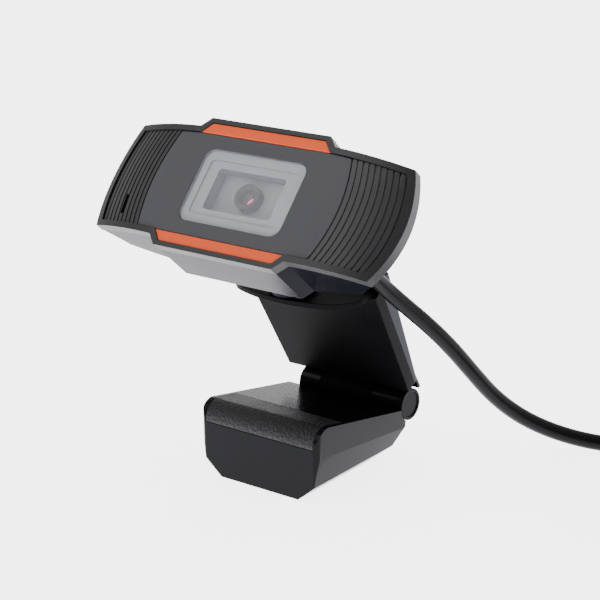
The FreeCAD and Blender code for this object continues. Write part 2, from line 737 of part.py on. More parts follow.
def arm_blank(label, y_low, y_high, z_low, z_high, inset):
    """A plate of the arm's outline, wider at the top, from y_low to y_high in the arm's frame."""
    body = new_body(label)
    low, high = D["arm_half_low"] - inset, D["arm_half_high"] - inset
    add(body, "XZ", [[(-low, z_low), (low, z_low), (high, z_high), (-high, z_high)]], y_low, y_high)
    return body


ARM_FOOT = 5.0


def arm_plate():
    """The front plate of the arm: a shallow tray with the middle knuckle below and the D-shaped
    platform on top, in one moulding."""
    wall = size(1.6)
    depth, length = D["plate_depth"], D["arm_length"]
    tray = arm_blank("arm_tray", size(0), depth, size(ARM_FOOT), length, size(0))
    low, high = D["arm_half_low"] - wall, D["arm_half_high"] - wall
    top = length - 3.4
    cut(tray, "XZ", [[(-low, ARM_FOOT + 2.0), (low, ARM_FOOT + 2.0), (high, top), (-high, top)]],
        wall, depth + 1)
    knuckle = D["knuckle_split"] - D["side_gap"]
    radius = D["knuckle_radius"]
    add(tray, "YZ", [{"x": 0, "y": 0, "radius": radius}], -knuckle, knuckle)
    add(tray, "YZ", [[(0, 0), (3.2, 0), (3.2, 6), (0, 6)]], -knuckle, knuckle)
    bore = D["pin_radius"] + D["running_gap"]
    cut(tray, "YZ", [{"x": 0, "y": 0, "radius": bore}], -knuckle - 1, knuckle + 1)
    for x in (-12, 12):
        add(tray, "XZ", [{"x": x, "y": 22, "radius": 2.2}], 1, depth - 0.1)
        cut(tray, "XZ", [{"x": x, "y": 22, "radius": 0.8}], wall - 0.5, depth + 1)
    place(tray, ARM)
    platform = new_body("arm_platform")
    half = D["platform_half"]
    add(platform, "XY", [[(-half, 8.8), (-half, 3.2, 8.5), (-13.4, -4.6, 42.5), (13.4, -4.6, 8.5),
                          (half, 3.2), (half, 8.8)]], -D["platform_thick"], 0)
    cut(platform, "XY", [{"x": 0, "y": 0, "radius": SPIGOT["radius"] + D["running_gap"]}], -5, 5)
    place(platform, PLATFORM)
    plate = combine("arm_plate", "MultiFuse", [tray, platform])
    SUB_PARTS.append(plate)


ARM_SCREW_SEAT = 5.6
LIP = {"front": 4.35, "back": 5.1, "foot": 2.0, "top": 6.2}


def arm_cover():
    """The glossy rear cover of the arm, thicker towards the top, rounded along its sides."""
    foot, length = size(ARM_FOOT), D["cover_length"]
    front = D["plate_depth"] + FIT
    low, high = D["cover_low"], D["cover_high"]
    outer = arm_blank("cover_outer", front, size(9.5), foot, length, size(0.1))
    cut(outer, "YZ", [[(low, foot), (high, length), (high, length + 1), (12, length + 1), (12, foot - 1),
                       (low, foot - 1)]], -30, 30)
    soften(outer, 1.1, lambda e: e.BoundBox.YMin > low.value - 0.5 and e.Length > 20)
    inner = arm_blank("cover_inner", front - 1, size(8), foot + 1.4, length - 3.6, size(1.5))
    cut(inner, "YZ", [[(low - 1.3, foot), (high - 1.3, length), (12, length), (12, foot)]], -30, 30)
    lip = new_body("cover_lip")
    half = D["arm_half_low"] - 0.3
    add(lip, "XZ", [rectangle(-half, LIP["foot"], half, LIP["top"])], LIP["front"], LIP["back"])
    bosses = new_body("cover_bosses")
    for x in (-12, 12):
        add(bosses, "XZ", [{"x": x, "y": 22, "radius": 2.4}], front + 0.02, ARM_SCREW_SEAT + 0.3)
    hollow = combine("cover_hollow", "Cut", [outer, inner])
    joined = combine("cover_joined", "MultiFuse", [hollow, lip, bosses])
    holes = new_body("cover_holes")
    for x in (-12, 12):
        add(holes, "XZ", [{"x": x, "y": 22, "radius": 1.1}], 2, 8)
        add(holes, "XZ", [{"x": x, "y": 22, "radius": 2.0}], ARM_SCREW_SEAT, 10)
    cover = combine("arm_cover", "Cut", [joined, holes])
    keep(cover, ARM)


def arm_screws():
    body = new_body("arm_screws")
    for x in (-12, 12):
        add(body, "XZ", [{"x": x, "y": 22, "radius": 1.9}], ARM_SCREW_SEAT + 0.02, ARM_SCREW_SEAT + 0.9)
        add(body, "XZ", [{"x": x, "y": 22, "radius": 0.78}], 1.4, ARM_SCREW_SEAT + 0.1)
    keep(body, ARM)


# ------------------------------------------------------------------ hinge and jaw

def hinge_pin():
    """The steel pin through the three knuckles."""
    body = new_body("hinge_pin")
    add(body, "YZ", [{"x": 0, "y": 0, "radius": D["pin_radius"]}],
        0.5 - D["barrel_left"], D["barrel_half"] + 0.4)
    keep(body, HINGE)


def hinge_cap():
    """The round cap on the right end of the hinge, with a raised ring."""
    body = new_body("hinge_cap")
    start = D["barrel_half"] + 0.05
    radius = D["knuckle_radius"]
    add(body, "YZ", [{"x": 0, "y": 0, "radius": radius + 0.2}], start, start + 2.2)
    cut(body, "YZ", [{"x": 0, "y": 0, "radius": radius - 0.7}], start + 1.9, start + 4)
    cut(body, "YZ", [{"x": 0, "y": 0, "radius": D["pin_radius"]}], start - 1, start + 0.35)
    keep(body, HINGE)


def friction_washers():
    """The two spring washers between the knuckles that give the hinge its drag."""
    body = new_body("friction_washers")
    gap = D["side_gap"]
    for side in (-1, 1):
        near = D["knuckle_split"] * side
        low, high = (near - gap * 0.9, near - gap * 0.1) if side > 0 else (near + gap * 0.1, near + gap * 0.9)
        add(body, "YZ", [{"x": 0, "y": 0, "radius": 3.0}], low, high)
    cut(body, "YZ", [{"x": 0, "y": 0, "radius": D["pin_radius"] + 0.1}], -12, 12)
    keep(body, HINGE)


def jaw_profile(inset):
    """The jaw from the side: a flat foot, a top that falls to the rear, and a rounded nose."""
    inset = size(inset)
    front, nose = D["jaw_front"] + inset, D["nose_radius"]
    top_front, top_rear = D["jaw_top_front"] - inset, D["jaw_top_rear"] - inset
    return [(front, 0), (-12, 0), (size(-3.6) - inset, 8.6), (-3.2 - inset, 10.6), (-4.8, top_rear),
            (front + nose, top_front, nose * 1.06), (front, top_front - nose)]


PAD = {"front_z": 14.3}


FLANK = {"front_z": 12.9, "rear_z": 8.4, "knee": (17.6, 4.3), "foot": (12.3, -0.1)}


def flank_section(body, side, level, start_z):
    """What is cut away below the line where a flank starts to slope in, at one depth."""
    knee, foot = [(x * side, z) for x, z in (FLANK["knee"], FLANK["foot"])]
    start = ((D["jaw_half"] + 0.1) * side, start_z)
    return sketch_at(body, "XZ", level, [[start, knee, foot, (30 * side, -1), (30 * side, start_z)]])


def jaw_shell():
    """The hollow jaw: pad seat over the nose, two side knuckles, posts for the base's screws."""
    half = D["jaw_half"]
    outer = new_body("jaw_outer")
    add(outer, "YZ", [jaw_profile(0)], -half, half)
    for side in (-1, 1):
        loft = outer.newObject("PartDesign::SubtractiveLoft", "flank")
        loft.Profile = flank_section(outer, side, D["jaw_front"] - 1, FLANK["front_z"])
        loft.Sections = [flank_section(outer, side, 1, FLANK["rear_z"])]
        loft.Ruled = True
        settle(outer, loft, False)
        corner = 1.6
        edge, inner, front = half * side, (half - corner) * side, D["jaw_front"]
        cut(outer, "XY", [[(edge, front - 1), (edge, front + corner, -corner * side), (inner, front),
                           (inner, front - 1)]], -1, 25)
    # the seat of the pad over the nose, and the two side knuckles
    pad_half = D["pad_half"] + 0.05
    cut(outer, "YZ", [pad_loop(0.05)], -pad_half, pad_half)
    radius, split = D["knuckle_radius"], D["knuckle_split"]
    middle = new_body("jaw_middle")
    axis = {"x": D["pivot_y"], "y": D["hinge_z"]}
    add(middle, "YZ", [dict(axis, radius=radius + 0.35)], -split, split)
    add(middle, "YZ", [dict(axis, radius=radius + 0.35)], D["barrel_half"], 25)
    cavity = new_body("jaw_cavity")
    wall = D["wall"]
    add(cavity, "YZ", [[(D["jaw_front"] + wall + 0.6, -1), (-12.5, -1), (-8.0, 5.2), (-8.0, 12.0),
                        (-29, 15.6), (D["jaw_front"] + wall + 1.6, 14.4)]], -10.9, 10.9)
    step = new_body("jaw_step")
    add(step, "XY", [rectangle(-11.6, -40.0, 11.6, -12.9)], -1, 1.65)
    body = combine("jaw_body", "Cut", [outer, combine("jaw_cutters", "MultiFuse", [middle, cavity, step])])
    knuckles = new_body("jaw_knuckles")
    for side in (-1, 1):
        near, far = split * side, D["barrel_half"] if side > 0 else -D["barrel_left"]
        low, high = (near, far) if side > 0 else (far, near)
        add(knuckles, "YZ", [{"x": D["pivot_y"], "y": D["hinge_z"], "radius": radius}], low, high)
        add(knuckles, "YZ", [[(-7.5, 8.5), (-1.5, 10.2), (-1.5, 12), (-7.5, 13.4)]], low, high)
    bore = new_body("jaw_bore")
    add(bore, "YZ", [{"x": D["pivot_y"], "y": D["hinge_z"], "radius": D["pin_radius"]}], -25, 25)
    for x, y in JAW_SCREWS:
        add(bore, "XY", [{"x": x, "y": y, "radius": 0.8}], 1.0, 9.0)
    posts = new_body("jaw_posts")
    for (x, y), top in zip(JAW_SCREWS, (16.5, 14.5)):
        add(posts, "XY", [{"x": x, "y": y, "radius": 2.0}], 1.7, top)
    joined = combine("jaw_joined", "MultiFuse", [body, knuckles, posts])
    keep(combine("jaw_shell", "Cut", [joined, bore]), STAND)


JAW_SCREWS = [(0.0, -35.5), (0.0, -17.0)]


def pad_loop(grow):
    """The pad from the side: a band of even thickness from the flat top over the nose."""
    grow = size(grow)
    front, nose, thick = D["jaw_front"], D["nose_radius"], D["pad_thick"] + grow
    top, low = D["jaw_top_front"], size(PAD["front_z"]) - grow
    back = D["pad_back"] + grow
    slope = (D["jaw_top_rear"] - D["jaw_top_front"]) / (-4.8 - (D["jaw_front"] + D["nose_radius"]))
    back_z = top + slope * (back - (front + nose))
    lift = size(1.0) if grow.value else size(0)
    return [(back, back_z + lift), (front + nose, top + lift, (nose + lift) * 1.06),
            (front - lift, top - nose),
            (front - lift, low), (front + thick, low), (front + thick, top - nose, -(nose - thick) * 1.06),
            (front + nose, top - thick), (back, back_z - thick)]


def jaw_pad():
    body = new_body("jaw_pad")
    half = D["pad_half"]
    add(body, "YZ", [pad_loop(0)], -half, half)
    keep(body, STAND)


def jaw_base():
    """The flat cover under the jaw, held by two screws."""
    body = new_body("jaw_base")
    add(body, "XY", [rectangle(-11.5, -39.9, 11.5, -13.0)], 0, 1.6)
    cut(body, "XY", [{"x": x, "y": y, "radius": 0.9} for x, y in JAW_SCREWS], -1, 2)
    cut(body, "XY", [{"x": x, "y": y, "radius": 1.75} for x, y in JAW_SCREWS], -1, 0.9)
    keep(body, STAND)


def jaw_screws():
    body = new_body("jaw_screws")
    add(body, "XY", [{"x": x, "y": y, "radius": 1.6} for x, y in JAW_SCREWS], 0.1, 0.88)
    add(body, "XY", [{"x": x, "y": y, "radius": 0.75} for x, y in JAW_SCREWS], 0.8, 6.5)
    keep(body, STAND)


# ------------------------------------------------------------------ lead and plug

def vector(x, y, z):
    return Vector(float(x), float(y), float(z))


def head_point(x, y, z):
    """A point of the head's frame in the row frame."""
    base_y, base_z = HEAD["y"].value, HEAD["z"].value
    sine, cosine = SIN_TILT.value, COS_TILT.value
    return vector(x, base_y + cosine * y + sine * z, base_z - sine * y + cosine * z)


# From the strain relief down to the table, then along it to the coil's outer turn.
CABLE_ROUTE = [
    head_point(EXIT["x"], EXIT["end"], EXIT["z"]), head_point(EXIT["x"], EXIT["end"] + 7, EXIT["z"]),
    vector(28.4, 8.2, 48.4), vector(31.7, 14.8, 41.6), vector(34.6, 21.2, 34.2),
    vector(37.1, 27.3, 26.2), vector(39.6, 34.0, 18.0), vector(43.8, 41.6, 10.7),
    vector(50.6, 49.4, 5.2), vector(60.4, 56.6, 2.1), vector(72.6, 63.4, 2.1),
    vector(86.4, 67.9, 2.1), vector(97.0, 69.2, 2.1), vector(105.0, 69.2, 2.1),
]

def bent_tube(label, route, radius):
    """A round tube along straight runs joined by tangent arcs as large as the runs allow."""
    runs = [b - a for a, b in zip(route, route[1:])]
    edges, start, radii = [], route[0], []
    for number, corner in enumerate(route[1:-1]):
        before, after = runs[number], runs[number + 1]
        turn = before.getAngle(after)
        reach = 0.45 * min(before.Length, after.Length)
        radii.append(reach / math.tan(turn / 2))
        into, out = Vector(before).normalize(), Vector(after).normalize()
        first, last = corner - into * reach, corner + out * reach
        bisector = (out - into).normalize()
        middle = corner + bisector * (radii[-1] / math.cos(turn / 2) - radii[-1])
        edges += [Part.LineSegment(start, first).toShape(), Part.Arc(first, middle, last).toShape()]
        start = last
    edges.append(Part.LineSegment(start, route[-1]).toShape())
    path = Part.Wire(edges)
    circle = Part.Circle(route[0], runs[0], radius)
    solid = path.makePipeShell([Part.Wire([circle.toShape()])], True, False)
    expected = math.pi * radius ** 2 * path.Length
    print(f"{label}: length {path.Length:.1f}, radii", " ".join(f"{r:.1f}" for r in radii),
          f"volume / (section x length) {solid.Volume / expected:.4f}")
    feature = doc.addObject("Part::Feature", label)
    feature.Label = label
    feature.Shape = solid
    SUB_PARTS.append(feature)
    return path.Length


COIL_LAYERS, COIL_RINGS = 3, 3


def cable_coil():
    """The put-away length of the lead: one ring-shaped solid of the coil's outer shape."""
    body = new_body("cable_coil")
    diameter, mean = D["cable_diameter"], D["coil_mean_radius"]
    half_w, half_h = diameter * (COIL_RINGS / 2), diameter * (COIL_LAYERS / 2)
    sketch = sketch_at(body, "XZ", 0, [rounded(half_w, half_h, diameter * 0.5, mean, half_h)])
    ring = body.newObject("PartDesign::Revolution", "ring")
    ring.Profile = sketch
    ring.ReferenceAxis = (sketch, ["V_Axis"])
    ring.Angle = 360
    settle(body, ring, True)
    keep(body, {"x": D["coil_x"], "y": D["coil_y"], "z": size(0), "turn": size(0)})


PLUG = {"grip_w": 15.6, "grip_h": 7.6, "grip_l": 27.0,
        "shell_w": 12.0, "shell_h": 4.5, "shell_l": 18.8,
        "rear_y": -4.0}
TAIL_STEP = 18.0
TAIL_CLIMB = (0.0, 0.1, 0.4, 0.72, 0.95, 1.0)


def plug_group():
    """The plug lies on the coil and points to the front, in line with the end of the tail."""
    coil_top = D["cable_diameter"] * float(COIL_LAYERS)
    return {"x": D["coil_x"] + D["coil_mean_radius"] - D["cable_diameter"],
            "y": D["coil_y"] + PLUG["rear_y"],
            "z": coil_top + PLUG["grip_h"] / 2 + 0.02, "turn": size(0)}


def tail_route():
    """From the coil's top layer round to the plug, climbing onto the coil."""
    x, y = SIZES["coil_x"], SIZES["coil_y"]
    diameter = SIZES["cable_diameter"]
    radius = SIZES["coil_mean_radius"] - diameter
    low = diameter * (COIL_LAYERS - 0.5)
    high = diameter * COIL_LAYERS + PLUG["grip_h"] / 2 + 0.02
    half_step = math.radians(TAIL_STEP / 2)
    corner, side = radius / math.cos(half_step), 2 * radius * math.tan(half_step)
    points = []
    for number, climb in enumerate(TAIL_CLIMB):
        angle = math.pi / 2 - half_step * (2 * (len(TAIL_CLIMB) - number) - 1)
        points.append(vector(x + corner * math.sin(angle), y + corner * math.cos(angle),
                             low + (high - low) * climb))
    heading = math.pi / 2 - 2 * half_step * len(TAIL_CLIMB)
    start = points[0] - vector(math.cos(heading), -math.sin(heading), 0) * side
    return [start] + points + [vector(x + radius, y + PLUG["rear_y"], high)]


def plug_parts():
    """A USB-A plug: the overmoulded grip, the metal shell, the tongue and its four contacts."""
    p = PLUG
    group = plug_group()
    mouth = -p["grip_l"] + 5
    front = mouth - 0.02
    tip = front - p["shell_l"] + 5
    half_w, half_h, skin = p["shell_w"] / 2, p["shell_h"] / 2, 0.3
    grip = new_body("plug_grip")
    add(grip, "XZ", [rounded(p["grip_w"] / 2, p["grip_h"] / 2, 2.2)], -p["grip_l"], 0)
    cut(grip, "XZ", [rectangle(-half_w, -half_h, half_w, half_h)], -p["grip_l"] - 1, mouth)
    keep(grip, group)
    metal = new_body("plug_shell")
    add(metal, "XZ", [rectangle(-half_w, -half_h, half_w, half_h)], tip, front)
    mouth = rectangle(-half_w + skin, -half_h + skin, half_w - skin, half_h - skin)
    cut(metal, "XZ", [mouth], tip - 1, front - 1)
    cut(metal, "XY",
        [rectangle(side * 2.9 - 1.1, tip + 5.1, side * 2.9 + 1.1, tip + 7.3) for side in (-1, 1)],
        -half_h - 1, half_h + 1)
    keep(metal, group)
    tongue = new_body("plug_tongue")
    add(tongue, "XZ", [rectangle(-5.6, -half_h + skin + 0.05, 5.6, -0.1)], tip + 0.6, front - 1.02)
    keep(tongue, group)
    contacts = new_body("plug_contacts")
    for x in (-3.5, -1.0, 1.0, 3.5):
        add(contacts, "XZ", [rectangle(x - 0.5, -0.1, x + 0.5, 0.05)], tip + 2, front - 4)
    keep(contacts, group)


# ------------------------------------------------------------------ build and write

front_bezel()
face_panel()
trim("trim_top", 1)
trim("trim_bottom", -1)
rib_panel("rib_panel_left", -1)
rib_panel("rib_panel_right", 1)
window_cover()
lens_surround()
lens_barrel()
front_lens()
lens_holder()
infrared_filter()
image_sensor()
circuit_board()
interface_chip()
board_screws()
board_pillars()
microphone()
rear_shell()
shell_screws()
strain_relief()
tilt_pin()
swivel_neck()
swivel_washer()
swivel_screw()
arm_plate()
arm_cover()
arm_screws()
hinge_pin()
hinge_cap()
friction_washers()
jaw_shell()
jaw_pad()
jaw_base()
jaw_screws()
bent_tube("cable", CABLE_ROUTE, SIZES["cable_diameter"] / 2)
cable_coil()
bent_tube("cable_tail", tail_route(), SIZES["cable_diameter"] / 2)
plug_parts()

doc.recompute()
for item in doc.Objects:
    if "Invalid" in item.State or "Error" in item.State:
        raise RuntimeError(f"{item.Label}: {item.State}")
for sub_part in SUB_PARTS:
    if sub_part.Shape.isNull() or not sub_part.Shape.isValid():
        raise RuntimeError(f"{sub_part.Label} has no valid shape")

os.makedirs("parts", exist_ok=True)
for sub_part in SUB_PARTS:
    sub_part.Shape.exportStep(f"parts/{sub_part.Label}.step")
print(len(SUB_PARTS), "sub-parts written")
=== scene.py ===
"""A wide webcam on a folding clip stand, with its USB lead, in metres in the row frame."""

import json
import math

import bmesh
import bpy
from mathutils import Matrix, Vector
from mathutils.kdtree import KDTree

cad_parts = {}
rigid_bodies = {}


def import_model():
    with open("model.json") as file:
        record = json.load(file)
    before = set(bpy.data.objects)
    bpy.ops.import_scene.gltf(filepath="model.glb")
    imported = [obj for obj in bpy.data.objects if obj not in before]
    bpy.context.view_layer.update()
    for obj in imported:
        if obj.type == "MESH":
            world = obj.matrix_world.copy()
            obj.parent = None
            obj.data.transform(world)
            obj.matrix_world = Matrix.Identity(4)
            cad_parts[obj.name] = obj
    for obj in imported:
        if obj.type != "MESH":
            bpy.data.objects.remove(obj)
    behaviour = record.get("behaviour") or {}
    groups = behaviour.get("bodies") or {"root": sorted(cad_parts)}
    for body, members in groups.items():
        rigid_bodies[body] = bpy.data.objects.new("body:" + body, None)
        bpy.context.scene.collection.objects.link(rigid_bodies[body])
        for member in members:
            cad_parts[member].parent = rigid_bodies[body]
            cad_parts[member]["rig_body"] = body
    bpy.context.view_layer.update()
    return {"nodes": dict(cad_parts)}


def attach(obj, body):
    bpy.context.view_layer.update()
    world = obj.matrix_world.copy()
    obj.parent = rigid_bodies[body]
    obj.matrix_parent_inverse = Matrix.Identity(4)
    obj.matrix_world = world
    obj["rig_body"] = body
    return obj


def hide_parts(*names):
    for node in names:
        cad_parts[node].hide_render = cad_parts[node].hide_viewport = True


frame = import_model()

MM = 0.001


# ---- Front bezel: one satin ABS moulding that frames the face, with a tab above and below. Its
# rims are rounded in the mould, and a fine spark texture keeps the black from mirroring.

def linear(code):
    """An sRGB hex colour as the linear values that a shader takes, opaque."""
    channels = [int(code[i:i + 2], 16) / 255 for i in (0, 2, 4)]
    return [c / 12.92 if c <= 0.04045 else ((c + 0.055) / 1.055) ** 2.4 for c in channels] + [1.0]


def add_node(tree, kind, inputs=(), **settings):
    """Add a shader node with its properties and its socket values or links."""
    made = tree.nodes.new("ShaderNode" + kind)
    for name, value in settings.items():
        setattr(made, name, value)
    for socket, value in dict(inputs).items():
        if isinstance(value, bpy.types.NodeSocket):
            tree.links.new(value, made.inputs[socket])
        else:
            made.inputs[socket].default_value = value
    return made


CLOUD = 9.0             # width in millimetres of the patches of handling and flow marks
COAT_ROUGHNESS = 0.04


def noise(tree, place, width, detail):
    """A noise pattern whose grains have a width in millimetres."""
    grains = add_node(tree, "TexNoise", {"Vector": place, "Scale": 1 / (width * MM), "Detail": detail})
    return grains.outputs["Fac"]


def moulded(name, dark, light, roughness, grain, depth, coat=0.0, specular=0.5, spread=0.06,
             sheen="ffffff"):
    """A moulded plastic or rubber: two close shades in soft clouds, a grain of a given width and
    depth in millimetres, a roughness that wanders as handling leaves it, and the sheen's tint."""
    material = bpy.data.materials.new(name)
    material.use_nodes = True
    tree = material.node_tree
    tree.nodes.clear()
    place = add_node(tree, "TexCoord").outputs["Object"]
    cloud = noise(tree, place, CLOUD, 3.0)
    fine = noise(tree, place, grain, 2.0)
    shade = add_node(tree, "Mix", data_type="RGBA")
    tree.links.new(cloud, shade.inputs["Factor"])
    shade.inputs["A"].default_value = linear(dark)
    shade.inputs["B"].default_value = linear(light)
    rough = add_node(tree, "MapRange", {"Value": cloud, "From Min": 0.3, "From Max": 0.7,
                                        "To Min": roughness - spread / 2, "To Max": roughness + spread / 2})
    bump = add_node(tree, "Bump", {"Height": fine, "Distance": depth * MM, "Strength": 1.0})
    surface = add_node(tree, "BsdfPrincipled", {
        "Base Color": shade.outputs["Result"], "Roughness": rough.outputs["Result"],
        "Normal": bump.outputs["Normal"], "Coat Weight": coat, "Coat Roughness": COAT_ROUGHNESS,
        "Specular IOR Level": specular, "Specular Tint": linear(sheen), "IOR": 1.5})
    add_node(tree, "OutputMaterial", {"Surface": surface.outputs["BSDF"]})
    return material


CREASE = math.radians(25)           # edges sharper than this are rounded
MERGE = 0.002 * MM
FLAT = math.radians(0.5)


def rounded_copy(node, width, material, segments=3):
    """A merged copy of a CAD node with its sharp edges rounded by a width in millimetres."""
    shape = bmesh.new()
    shape.from_mesh(frame["nodes"][node].data)
    bmesh.ops.remove_doubles(shape, verts=shape.verts, dist=MERGE)
    bmesh.ops.dissolve_limit(shape, angle_limit=FLAT, verts=shape.verts, edges=shape.edges)
    mesh = bpy.data.meshes.new(node + "_finished")
    shape.to_mesh(mesh)
    shape.free()
    mesh.materials.clear()
    mesh.materials.append(material)
    mesh.polygons.foreach_set("material_index", [0] * len(mesh.polygons))
    mesh.polygons.foreach_set("use_smooth", [True] * len(mesh.polygons))
    piece = bpy.data.objects.new(node + "_finished", mesh)
    bpy.context.scene.collection.objects.link(piece)
    rounding = piece.modifiers.new("rounding", "BEVEL")
    rounding.width = width * MM
    rounding.segments = segments
    rounding.limit_method = "ANGLE"
    rounding.angle_limit = CREASE
    rounding.use_clamp_overlap = True
    rounding.harden_normals = False
    piece.modifiers.new("shading", "WEIGHTED_NORMAL")
    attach(piece, body_of_node(node))
    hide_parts(node)
    return piece


def body_of_node(node):
    """The name of the moving body that a CAD node belongs to."""
    return frame["nodes"][node]["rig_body"]


# The middle of the bezel's front, how far the head leans back, and its own two directions.
HEAD_ORIGIN = Vector((0.0, -19.35, 79.13))
HEAD_TILT = math.radians(41.8)
INTO_HEAD = Vector((0.0, math.cos(HEAD_TILT), -math.sin(HEAD_TILT)))
UP_FACE = Vector((0.0, math.sin(HEAD_TILT), math.cos(HEAD_TILT)))


def head_depth(place):
    """How far a place in metres lies behind the front of the bezel, in millimetres."""
    return (Vector(place) / MM - HEAD_ORIGIN).dot(INTO_HEAD)


satin_black = moulded("satin black ABS, spark texture", "101012", "151517", 0.42, 0.35, 0.010, specular=0.3)
rounded_copy("front_bezel", 0.35, satin_black)

# ---- Face panel and ribbed wings: matt grey ABS in the middle, darker satin wings with arc-shaped
# ridges at its sides. The microphone hears through a slot in the left wing.

matt_grey = moulded("matt grey ABS, fine texture", "333336", "38383c", 0.55, 0.25, 0.012, specular=0.3)
rounded_copy("face_panel", 0.15, matt_grey, segments=2)
ribbed_black = moulded("satin black ABS, polished ridges", "151517", "1a1a1c", 0.40, 0.35, 0.006,
                       specular=0.35)


RIDGE_REACH = 1.0                   # a groove's floor has a ridge's crest within this distance
GROOVE_LEAST, GROOVE_MOST = 0.35, 0.75
GROOVE_FILL = 0.26


def soften_grooves(mesh):
    """Raise the floors of the grooves between the ridges, so that the ridges read as soft waves."""
    tree = KDTree(len(mesh.vertices))
    flat = [Vector((v.co.x, v.co.dot(UP_FACE), 0)) for v in mesh.vertices]
    depths = [head_depth(v.co) for v in mesh.vertices]
    for number, place in enumerate(flat):
        tree.insert(place, number)
    tree.balance()
    for number, place in enumerate(flat):
        crest = min(depths[near] for _, near, _ in tree.find_range(place, RIDGE_REACH * MM))
        if GROOVE_LEAST < depths[number] - crest < GROOVE_MOST:
            mesh.vertices[number].co -= INTO_HEAD * GROOVE_FILL * MM


for wing in ("rib_panel_left", "rib_panel_right"):
    ridges = rounded_copy(wing, 0.2, ribbed_black, segments=3)
    soften_grooves(ridges.data)

# ---- Trims: two trapezoid strips let into the tabs above and below the face. They are ABS with
# a copper-orange lacquer, satin and slightly grainy.

copper_lacquer = moulded("copper-orange lacquer on ABS", "cb471b", "d34f21", 0.5, 0.12, 0.002, specular=0.2)
for strip in ("trim_top", "trim_bottom"):
    rounded_copy(strip, 0.2, copper_lacquer, segments=2)

# ---- Window and the frame behind it: a frosted acrylic cover, and a stepped grey frame whose recess
# walls carry painted shade, so that it shows through the cover as a darker band.

frosted = bpy.data.materials.new("frosted acrylic, back-sprayed")
frosted.use_nodes = True
tree = frosted.node_tree
tree.nodes.clear()
place = add_node(tree, "TexCoord").outputs["Object"]
cloud = noise(tree, place, 14.0, 2.0)
tint = add_node(tree, "Mix", data_type="RGBA")
tree.links.new(cloud, tint.inputs["Factor"])
tint.inputs["A"].default_value = linear("aeafb4")
tint.inputs["B"].default_value = linear("b8b9be")
surface = add_node(tree, "BsdfPrincipled", {
    "Base Color": tint.outputs["Result"], "Roughness": 0.24, "Alpha": 0.15, "Specular IOR Level": 0.25,
    "IOR": 1.49})
add_node(tree, "OutputMaterial", {"Surface": surface.outputs["BSDF"]})
rounded_copy("window_cover", 0.18, frosted)
frame_grey = moulded("grey ABS, matt", "949599", "9c9da1", 0.5, 0.3, 0.006, specular=0.2)
# A darker copy of the frame's grey, used as painted shade on the recess walls.
painted_shade_grey = moulded("grey ABS, matt, painted shade for recess walls", "55585c", "5c5f63", 0.5, 0.3, 0.006,
                      specular=0.1)
surround = rounded_copy("lens_surround", 0.2, frame_grey, segments=2)
surround.data.materials.append(painted_shade_grey)
# The recess is a little deeper to the eye than the plain frame, and its walls take a darker grey as painted
# shade.
RECESS_FLOOR, RECESS_DROP = 4.15, 0.85
WALLS_START, WALL_TILT = 1.3, 0.8
for vertex in surround.data.vertices:
    if abs(head_depth(vertex.co) - RECESS_FLOOR) < 0.05:
        vertex.co += INTO_HEAD * RECESS_DROP * MM
for face in surround.data.polygons:
    if head_depth(face.center) > WALLS_START and abs(face.normal.dot(INTO_HEAD)) < WALL_TILT:
        face.material_index = 1

# ---- Camera module: an anodised black barrel in a glass-filled holder, a coated lens, the sensor
# and its board.

matt_black = moulded("matt black glass-filled nylon", "0d0d0e", "131314", 0.5, 0.2, 0.006)
for part in ("lens_barrel", "lens_holder", "board_pillars"):
    rounded_copy(part, 0.1, matt_black, segments=2)


# Where the painted pink glint sits on the lens, drawn as emission in an oval: its middle, its two
# directions, and its half-lengths in millimetres.
ACROSS_FACE = Vector((1.0, 0.0, 0.0))
PAINTED_GLINT_MIDDLE = HEAD_ORIGIN + INTO_HEAD * 3.2 - UP_FACE * 0.9 + ACROSS_FACE * 1.3
PAINTED_GLINT_ALONG = (UP_FACE * 0.84 + ACROSS_FACE * 0.54).normalized()
PAINTED_GLINT_ACROSS = PAINTED_GLINT_ALONG.cross(INTO_HEAD)
PAINTED_GLINT_HALVES = ((PAINTED_GLINT_ALONG, 1.5), (PAINTED_GLINT_ACROSS, 0.5))


def coated_glass(name, tint, glow, painted_glint_strength=0.0):
    """Optical glass whose colour turns from the tint to the glow colour at grazing angles, as a painted
    sheen, and a painted pink glint of a given strength, drawn as emission low on its right in place of
    the coating's reflection."""
    material = bpy.data.materials.new(name)
    material.use_nodes = True
    tree = material.node_tree
    tree.nodes.clear()
    # Painted sheen: the base colour turns from the tint to the glow colour at grazing angles.
    painted_sheen_weight = add_node(tree, "LayerWeight", {"Blend": 0.35}).outputs["Facing"]
    shade = add_node(tree, "Mix", data_type="RGBA")
    tree.links.new(painted_sheen_weight, shade.inputs["Factor"])
    shade.inputs["A"].default_value = linear(tint)
    shade.inputs["B"].default_value = linear(glow)
    surface = add_node(tree, "BsdfPrincipled", {
        "Base Color": shade.outputs["Result"], "Roughness": 0.05, "Specular IOR Level": 0.2, "IOR": 1.6,
        "Emission Color": linear("ff3d94")})
    # Painted glint: a pink emission in an oval low on the lens's right stands in for a reflection off its
    # coating.
    place = add_node(tree, "TexCoord").outputs["Object"]
    from_painted_glint = add_node(tree, "VectorMath", {0: place, 1: PAINTED_GLINT_MIDDLE * MM}, operation="SUBTRACT")
    reach = []
    for axis, half in PAINTED_GLINT_HALVES:
        share = add_node(tree, "VectorMath", {0: from_painted_glint.outputs["Vector"], 1: axis / (half * MM)},
                         operation="DOT_PRODUCT")
        reach.append(share.outputs["Value"])
    oval = add_node(tree, "CombineXYZ", {"X": reach[0], "Y": reach[1]}).outputs["Vector"]
    radius = add_node(tree, "VectorMath", {0: oval}, operation="LENGTH").outputs["Value"]
    painted_glint_mask = add_node(tree, "MapRange", {"Value": radius, "From Min": 1.0, "From Max": 0.5,
                                         "To Min": 0.0, "To Max": painted_glint_strength}).outputs["Result"]
    tree.links.new(painted_glint_mask, surface.inputs["Emission Strength"])
    add_node(tree, "OutputMaterial", {"Surface": surface.outputs["BSDF"]})
    return material
